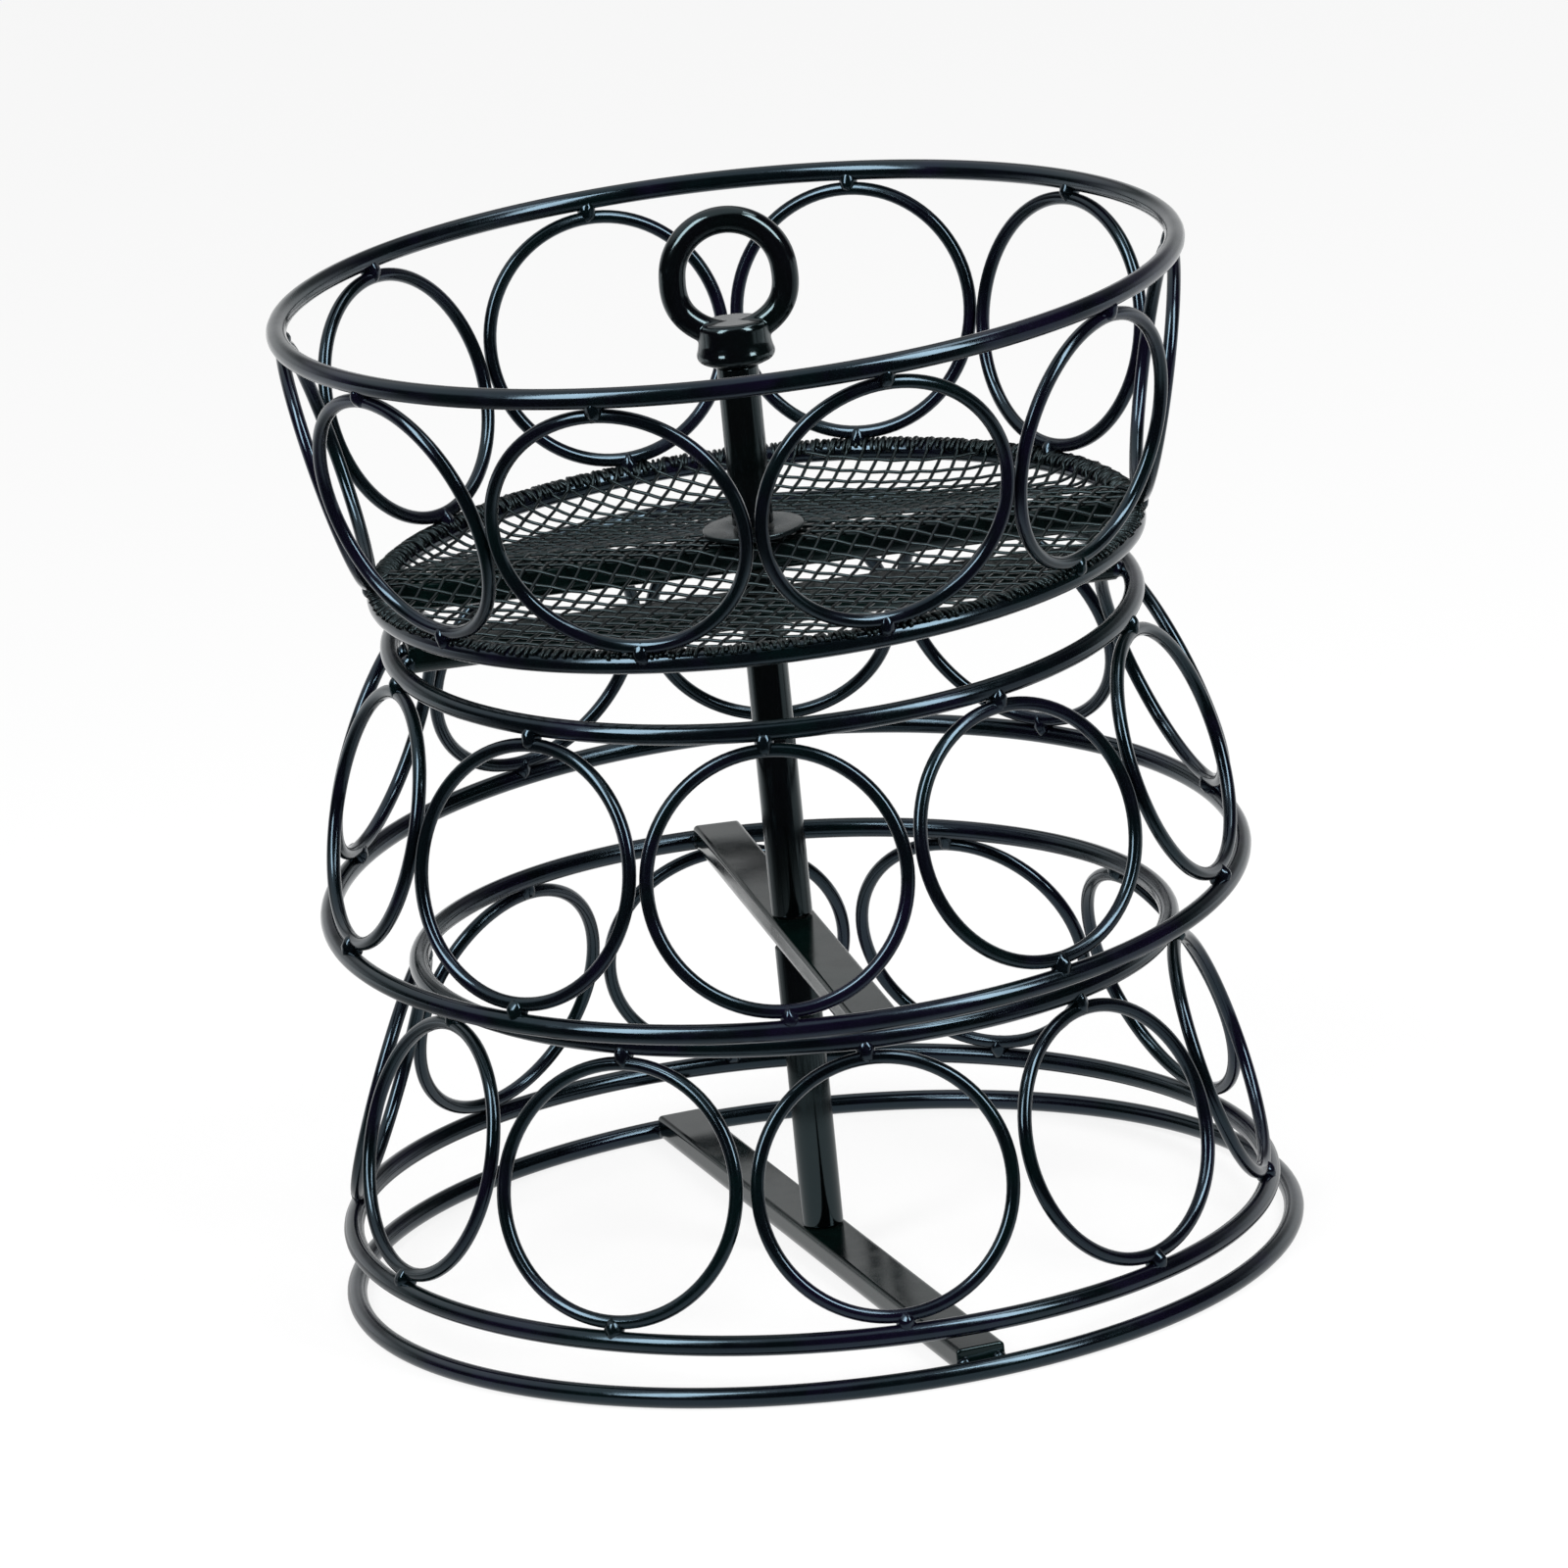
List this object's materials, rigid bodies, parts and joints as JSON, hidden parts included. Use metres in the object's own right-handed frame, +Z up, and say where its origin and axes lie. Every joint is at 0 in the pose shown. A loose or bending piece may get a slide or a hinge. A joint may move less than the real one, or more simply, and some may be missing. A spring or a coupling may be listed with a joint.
{
  "type": "coffee pod basket",
  "caption": "Revolving countertop holder for coffee pods: tapered tiers of wire circles under a mesh-floored wire basket, on a post with a ring handle.",
  "frame": {"origin": "centre of the round base ring, on the surface it stands on", "axes": "+Z up along the post, -Y towards the front as pictured, +X to the right of the front"},
  "size_m": [0.197, 0.1972, 0.2193],
  "materials": {
    "black_wire": "gloss black coating",
    "black_bar": "gloss black coating",
    "black_post": "gloss black coating",
    "black_mesh": "gloss black coating",
    "black_cast": "gloss black coating",
    "plain_steel": "dull zinc"
  },
  "bodies": {
    "base": {"base_ring": "black_wire", "base_bar": "black_bar", "central_rod": "plain_steel", "lower_tube": "black_post", "middle_tube": "black_post", "short_spacer": "black_post", "upper_tube": "black_post", "ring_handle": "black_cast"},
    "lower_tier": {"lower_tier_bottom_ring": "black_wire", "lower_tier_top_ring": "black_wire", "lower_tier_bar": "black_bar", "lower_tier_circle_01": "black_wire", "lower_tier_circle_02": "black_wire", "lower_tier_circle_03": "black_wire", "lower_tier_circle_04": "black_wire", "lower_tier_circle_05": "black_wire", "lower_tier_circle_06": "black_wire", "lower_tier_circle_07": "black_wire", "lower_tier_circle_08": "black_wire", "lower_tier_circle_09": "black_wire", "lower_tier_circle_10": "black_wire"},
    "middle_tier": {"middle_tier_bottom_ring": "black_wire", "middle_tier_top_ring": "black_wire", "middle_tier_bar": "black_bar", "middle_tier_circle_01": "black_wire", "middle_tier_circle_02": "black_wire", "middle_tier_circle_03": "black_wire", "middle_tier_circle_04": "black_wire", "middle_tier_circle_05": "black_wire", "middle_tier_circle_06": "black_wire", "middle_tier_circle_07": "black_wire", "middle_tier_circle_08": "black_wire", "middle_tier_circle_09": "black_wire", "middle_tier_circle_10": "black_wire"},
    "basket": {"basket_bottom_ring": "black_wire", "basket_rim": "black_wire", "basket_bar": "black_bar", "basket_circle_01": "black_wire", "basket_circle_02": "black_wire", "basket_circle_03": "black_wire", "basket_circle_04": "black_wire", "basket_circle_05": "black_wire", "basket_circle_06": "black_wire", "basket_circle_07": "black_wire", "basket_circle_08": "black_wire", "basket_circle_09": "black_wire", "basket_circle_10": "black_wire", "basket_mesh": "black_mesh", "mesh_washer": "plain_steel"}
  },
  "joints": [
    {"name": "lower_tier_spin", "type": "hinge", "parent": "base", "child": "lower_tier", "pos_m": [0, 0, 0.06907], "axis": [0, 0, 1], "continuous": true},
    {"name": "middle_tier_spin", "type": "hinge", "parent": "base", "child": "middle_tier", "pos_m": [0, 0, 0.13644], "axis": [0, 0, 1], "continuous": true},
    {"name": "basket_spin", "type": "hinge", "parent": "base", "child": "basket", "pos_m": [0, 0, 0.14799], "axis": [0, 0, 1], "continuous": true}
  ]
}
